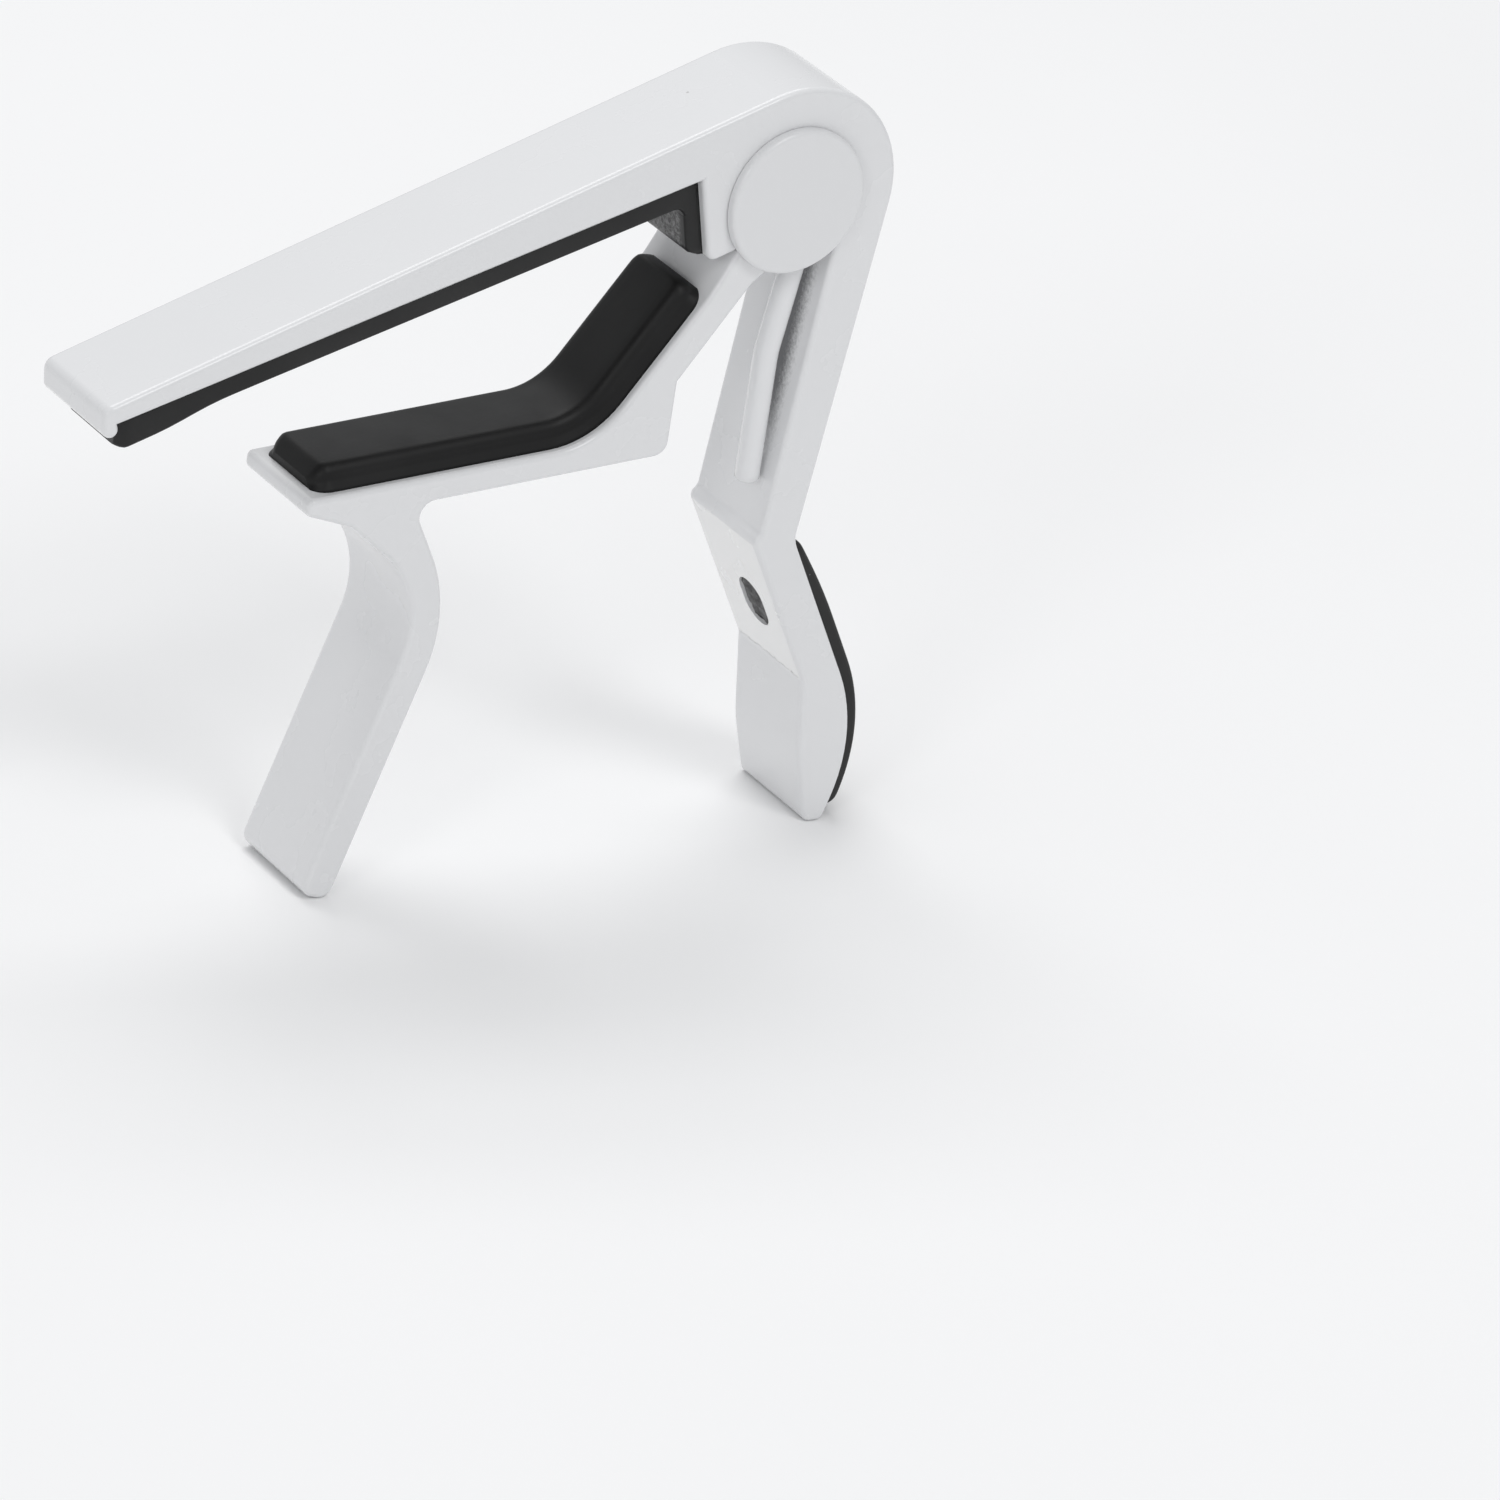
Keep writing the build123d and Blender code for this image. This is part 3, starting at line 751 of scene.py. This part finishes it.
def spring_route():
    """The wire's centre line from the leg's end to the coil's, in the part's frame."""
    up = direction(COIL_START + 90.0)
    begin = direction(COIL_START) * COIL_RADIUS
    bend = begin - up * LEG_LENGTH
    leg = bent_line(Vector(LEG_END), bend, begin, LEG_BEND, 1.0 * MM)
    line = [placed(item[0], COIL_NEAR_Y) for item in leg]
    last = COIL_END + COIL_OVERRUN
    turns = (last - COIL_START) / TURN
    count = round(turns * STEPS_PER_TURN)
    for index in range(1, count + 1):
        share = index / count
        place = direction(COIL_START + share * (last - COIL_START)) * COIL_RADIUS
        line.append(placed(place, COIL_NEAR_Y + share * turns * COIL_PITCH))
    return line


def tube(name, line, radius):
    """A round wire along the line, with slightly chamfered ends."""
    bm = bmesh.new()
    chamfer = radius * WIRE_CHAMFER
    first = (line[1] - line[0]).normalized()
    last = (line[-2] - line[-1]).normalized()
    route = [(line[0], radius - chamfer), (line[0] + first * chamfer, radius)]
    route += [(point, radius) for point in line[1:-1]]
    route += [(line[-1] + last * chamfer, radius), (line[-1], radius - chamfer)]
    side = Vector((0.0, 1.0, 0.0))
    rings = []
    for index, (point, size) in enumerate(route):
        before = route[max(0, index - 1)][0]
        after = route[min(len(route) - 1, index + 1)][0]
        ahead = (after - before).normalized()
        side = (side - ahead * side.dot(ahead)).normalized()
        across = ahead.cross(side)
        ring = []
        for step in range(WIRE_SIDES):
            angle = 2 * math.pi * step / WIRE_SIDES
            ring.append(bm.verts.new(point + (side * math.cos(angle) + across * math.sin(angle)) * size))
        rings.append(ring)
    stitch(bm, rings)
    bm.faces.new(rings[0])
    bm.faces.new(reversed(rings[-1]))
    return shape(name, bm)


def spring():
    wire = tube("spring_wire", spring_route(), WIRE_RADIUS)
    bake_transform(wire)
    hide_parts("torsion_spring")
    foot = direction(COIL_END) * COIL_RADIUS
    foot_y = COIL_NEAR_Y + (COIL_END - COIL_START) / TURN * COIL_PITCH
    post = [placed(foot, y) for y in (foot_y, foot_y + 1.0 * MM, TANG_END_Y)]
    tang = tube("spring_tang", post, TANG_RADIUS)
    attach(tang, "cradle")
    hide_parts("torsion_spring")
    return wire, tang


def dress(obj, material):
    obj.data.materials.append(material)


# ---- surroundings ----

def camera():
    azimuth = math.radians(CAMERA_AZIMUTH)
    elevation = math.radians(CAMERA_ELEVATION)
    roll = math.radians(CAMERA_ROLL)
    across = math.cos(elevation)
    forward = Vector((math.sin(azimuth) * across, math.cos(azimuth) * across, -math.sin(elevation)))
    level = Vector((math.cos(azimuth), -math.sin(azimuth), 0.0))
    upright = level.cross(forward)
    right = level * math.cos(roll) + upright * math.sin(roll)
    up = upright * math.cos(roll) - level * math.sin(roll)
    data = bpy.data.cameras.new("camera")
    data.lens = CAMERA_LENS
    data.sensor_width = CAMERA_SENSOR
    data.clip_start = CAMERA_NEAR_LIMIT
    data.clip_end = CAMERA_FAR_LIMIT
    obj = bpy.data.objects.new("camera", data)
    near = Vector((PIVOT_X, NEAR_Y, PIVOT_Z))
    place = near - right * CAMERA_ASIDE - up * CAMERA_BELOW - forward * CAMERA_DISTANCE
    turn = Matrix((right, up, -forward)).transposed()
    obj.matrix_world = Matrix.Translation(place) @ turn.to_4x4()
    bpy.context.scene.collection.objects.link(obj)
    bpy.context.scene.camera = obj


def area_light(name, place, size, power):
    data = bpy.data.lights.new(name, "AREA")
    data.shape = "RECTANGLE"
    data.size = size[0]
    data.size_y = size[1]
    data.energy = power
    obj = bpy.data.objects.new(name, data)
    way = Vector(LIGHT_TARGET) - Vector(place)
    obj.matrix_world = Matrix.Translation(place) @ way.to_track_quat("-Z", "Y").to_matrix().to_4x4()
    bpy.context.scene.collection.objects.link(obj)


def studio():
    world = bpy.data.worlds.new("studio")
    world.use_nodes = True
    background = world.node_tree.nodes["Background"]
    background.inputs["Color"].default_value = SKY_COLOUR
    background.inputs["Strength"].default_value = SKY_STRENGTH
    bpy.context.scene.world = world
    for light in LIGHTS:
        area_light(*light)
    bm = bmesh.new()
    bmesh.ops.create_grid(bm, x_segments=1, y_segments=1, size=FLOOR_SIZE)
    floor = shape("floor", bm, smooth=False)
    material, shader = new_material("floor")
    link(material, ramp(material, noise(material, 6.0), [(0.3, grey(0.93)), (0.7, grey(0.95))]),
         shader.inputs["Base Color"])
    shader.inputs["Roughness"].default_value = 0.9
    shader.inputs["Specular IOR Level"].default_value = 0.1
    floor.data.materials.append(material)
    bpy.context.scene.view_settings.view_transform = "Standard"


paint_node("bar_frame", white_paint("bar_paint", light=0.80, dark=0.785, with_marks_and_shadow=True))
paint_node("cradle_frame", white_paint("cradle_paint", light=0.80, dark=0.785))
head = white_paint("head_paint", light=0.78, dark=0.77, roughness=(0.28, 0.34))
paint_node("pivot_pin", head)
paint_node("pin_cap", head)
plastic = plain_plastic("bush_plastic")
paint_node("spring_sleeve", plastic)
paint_node("lug_washer", plastic)
dress(cradle_pad(), black_rubber("cradle_rubber"))
dress(bar_pad(), pad_rubber("bar_rubber"))
dress(grip(), black_rubber("grip_rubber", base=0.018, worn=0.028, roughness=(0.5, 0.62), dust=0.01))
dress(peg(), torn_rubber("torn_rubber"))
coating = white_paint("spring_coating", light=0.82, dark=0.80, roughness=(0.12, 0.18))
for wire in spring():
    dress(wire, coating)
camera()
studio()
